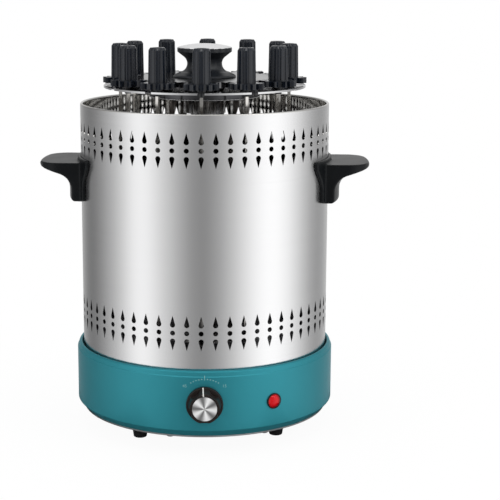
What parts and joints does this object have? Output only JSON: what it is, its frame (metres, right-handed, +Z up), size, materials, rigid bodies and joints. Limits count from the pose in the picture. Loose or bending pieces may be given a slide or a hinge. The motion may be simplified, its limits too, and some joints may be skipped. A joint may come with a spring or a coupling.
{
  "type": "vertical rotisserie grill",
  "caption": "Electric grill: a perforated steel barrel on a painted base, with geared skewers that turn on a lift-out disc round two heaters.",
  "frame": {"origin": "on the axis of the barrel, at the floor under the rubber feet", "axes": "+Z up along the barrel and the drive shaft, -Y to the front with the timer knob, +X to the right-hand handle"},
  "size_m": [0.314, 0.2781, 0.365],
  "materials": {
    "teal_paint": "gloss enamel",
    "barrel_steel": "brushed and polished",
    "disc_steel": "polished",
    "rod_steel": "polished",
    "zinc_steel": "zinc plated",
    "tray_steel": "pressed sheet",
    "gear_metal": "die cast",
    "black_plastic": "moulded, fine grain",
    "hub_plastic": "moulded",
    "knob_plastic": "moulded, satin",
    "cap_chrome": "spun and polished",
    "rubber": "moulded",
    "heater_tube": "heat darkened",
    "porcelain": "unglazed",
    "bronze": "sintered",
    "cream_plastic": "moulded",
    "brown_plastic": "moulded",
    "red_lens": "clear red"
  },
  "bodies": {
    "root": {"base_housing": "teal_paint", "base_plate": "zinc_steel", "feet": "rubber", "foot_screws": "zinc_steel", "pan_screws": "zinc_steel", "deck_plate": "zinc_steel", "drip_tray": "tray_steel", "barrel": "barrel_steel", "handle_left": "black_plastic", "handle_right": "black_plastic", "handle_screws": "zinc_steel", "heater_left": "heater_tube", "heater_right": "heater_tube", "heater_insulators": "porcelain", "column_tube": "rod_steel", "upper_bush": "bronze", "lower_bush": "bronze", "motor_housing": "zinc_steel", "motor_bracket": "zinc_steel", "timer_body": "cream_plastic", "timer_nut": "zinc_steel", "lamp_body": "knob_plastic", "lamp_lens": "red_lens", "terminal_block": "cream_plastic", "thermal_cutout": "brown_plastic", "cord_gland": "black_plastic"},
    "drive": {"drive_shaft": "rod_steel"},
    "timer": {"timer_shaft": "rod_steel", "timer_knob": "knob_plastic", "timer_knob_cap": "cap_chrome"},
    "carousel": {"carousel_disc": "disc_steel", "carousel_hub": "hub_plastic"},
    "sun": {"sun_gear": "gear_metal", "lift_knob": "black_plastic", "lift_knob_cap": "cap_chrome", "spindle": "rod_steel"},
    "skewer_01": {"skewer_handle_01": "black_plastic", "skewer_rod_01": "rod_steel"},
    "skewer_02": {"skewer_handle_02": "black_plastic", "skewer_rod_02": "rod_steel"},
    "skewer_03": {"skewer_handle_03": "black_plastic", "skewer_rod_03": "rod_steel"},
    "skewer_04": {"skewer_handle_04": "black_plastic", "skewer_rod_04": "rod_steel"},
    "skewer_05": {"skewer_handle_05": "black_plastic", "skewer_rod_05": "rod_steel"},
    "skewer_06": {"skewer_handle_06": "black_plastic", "skewer_rod_06": "rod_steel"},
    "skewer_07": {"skewer_handle_07": "black_plastic", "skewer_rod_07": "rod_steel"},
    "skewer_08": {"skewer_handle_08": "black_plastic", "skewer_rod_08": "rod_steel"},
    "skewer_09": {"skewer_handle_09": "black_plastic", "skewer_rod_09": "rod_steel"},
    "skewer_10": {"skewer_handle_10": "black_plastic", "skewer_rod_10": "rod_steel"},
    "skewer_11": {"skewer_handle_11": "black_plastic", "skewer_rod_11": "rod_steel"},
    "skewer_12": {"skewer_handle_12": "black_plastic", "skewer_rod_12": "rod_steel"}
  },
  "joints": [
    {"name": "carousel_lift", "type": "slide", "parent": "root", "child": "carousel", "axis": [0, 0, 1], "range_m": [0, 0.26]},
    {"name": "sun_spin", "type": "hinge", "parent": "carousel", "child": "sun", "pos_m": [0, 0, 0.33], "axis": [0, 0, 1], "continuous": true},
    {"name": "drive_shaft_spin", "type": "hinge", "parent": "root", "child": "drive", "pos_m": [0, 0, 0.06], "axis": [0, 0, 1], "continuous": true},
    {"name": "timer_knob_turn", "type": "hinge", "parent": "root", "child": "timer", "pos_m": [0, -0.13, 0.049], "axis": [0, 1, 0], "range_deg": [0, 300]},
    {"name": "skewer_01_spin", "type": "hinge", "parent": "carousel", "child": "skewer_01", "pos_m": [-0.00279, -0.07995, 0.33], "axis": [0, 0, 1], "continuous": true},
    {"name": "skewer_02_spin", "type": "hinge", "parent": "carousel", "child": "skewer_02", "pos_m": [0.03756, -0.07064, 0.33], "axis": [0, 0, 1], "continuous": true},
    {"name": "skewer_03_spin", "type": "hinge", "parent": "carousel", "child": "skewer_03", "pos_m": [0.06784, -0.04239, 0.33], "axis": [0, 0, 1], "continuous": true},
    {"name": "skewer_04_spin", "type": "hinge", "parent": "carousel", "child": "skewer_04", "pos_m": [0.07995, -0.00279, 0.33], "axis": [0, 0, 1], "continuous": true},
    {"name": "skewer_05_spin", "type": "hinge", "parent": "carousel", "child": "skewer_05", "pos_m": [0.07064, 0.03756, 0.33], "axis": [0, 0, 1], "continuous": true},
    {"name": "skewer_06_spin", "type": "hinge", "parent": "carousel", "child": "skewer_06", "pos_m": [0.04239, 0.06784, 0.33], "axis": [0, 0, 1], "continuous": true},
    {"name": "skewer_07_spin", "type": "hinge", "parent": "carousel", "child": "skewer_07", "pos_m": [0.00279, 0.07995, 0.33], "axis": [0, 0, 1], "continuous": true},
    {"name": "skewer_08_spin", "type": "hinge", "parent": "carousel", "child": "skewer_08", "pos_m": [-0.03756, 0.07064, 0.33], "axis": [0, 0, 1], "continuous": true},
    {"name": "skewer_09_spin", "type": "hinge", "parent": "carousel", "child": "skewer_09", "pos_m": [-0.06784, 0.04239, 0.33], "axis": [0, 0, 1], "continuous": true},
    {"name": "skewer_10_spin", "type": "hinge", "parent": "carousel", "child": "skewer_10", "pos_m": [-0.07995, 0.00279, 0.33], "axis": [0, 0, 1], "continuous": true},
    {"name": "skewer_11_spin", "type": "hinge", "parent": "carousel", "child": "skewer_11", "pos_m": [-0.07064, -0.03756, 0.33], "axis": [0, 0, 1], "continuous": true},
    {"name": "skewer_12_spin", "type": "hinge", "parent": "carousel", "child": "skewer_12", "pos_m": [-0.04239, -0.06784, 0.33], "axis": [0, 0, 1], "continuous": true}
  ],
  "couplings": [
    {"joint": "drive_shaft_spin", "follows": "sun_spin", "ratio": 1},
    {"joint": "skewer_01_spin", "follows": "sun_spin", "ratio": -4.8},
    {"joint": "skewer_02_spin", "follows": "sun_spin", "ratio": -4.8},
    {"joint": "skewer_03_spin", "follows": "sun_spin", "ratio": -4.8},
    {"joint": "skewer_04_spin", "follows": "sun_spin", "ratio": -4.8},
    {"joint": "skewer_05_spin", "follows": "sun_spin", "ratio": -4.8},
    {"joint": "skewer_06_spin", "follows": "sun_spin", "ratio": -4.8},
    {"joint": "skewer_07_spin", "follows": "sun_spin", "ratio": -4.8},
    {"joint": "skewer_08_spin", "follows": "sun_spin", "ratio": -4.8},
    {"joint": "skewer_09_spin", "follows": "sun_spin", "ratio": -4.8},
    {"joint": "skewer_10_spin", "follows": "sun_spin", "ratio": -4.8},
    {"joint": "skewer_11_spin", "follows": "sun_spin", "ratio": -4.8},
    {"joint": "skewer_12_spin", "follows": "sun_spin", "ratio": -4.8}
  ]
}
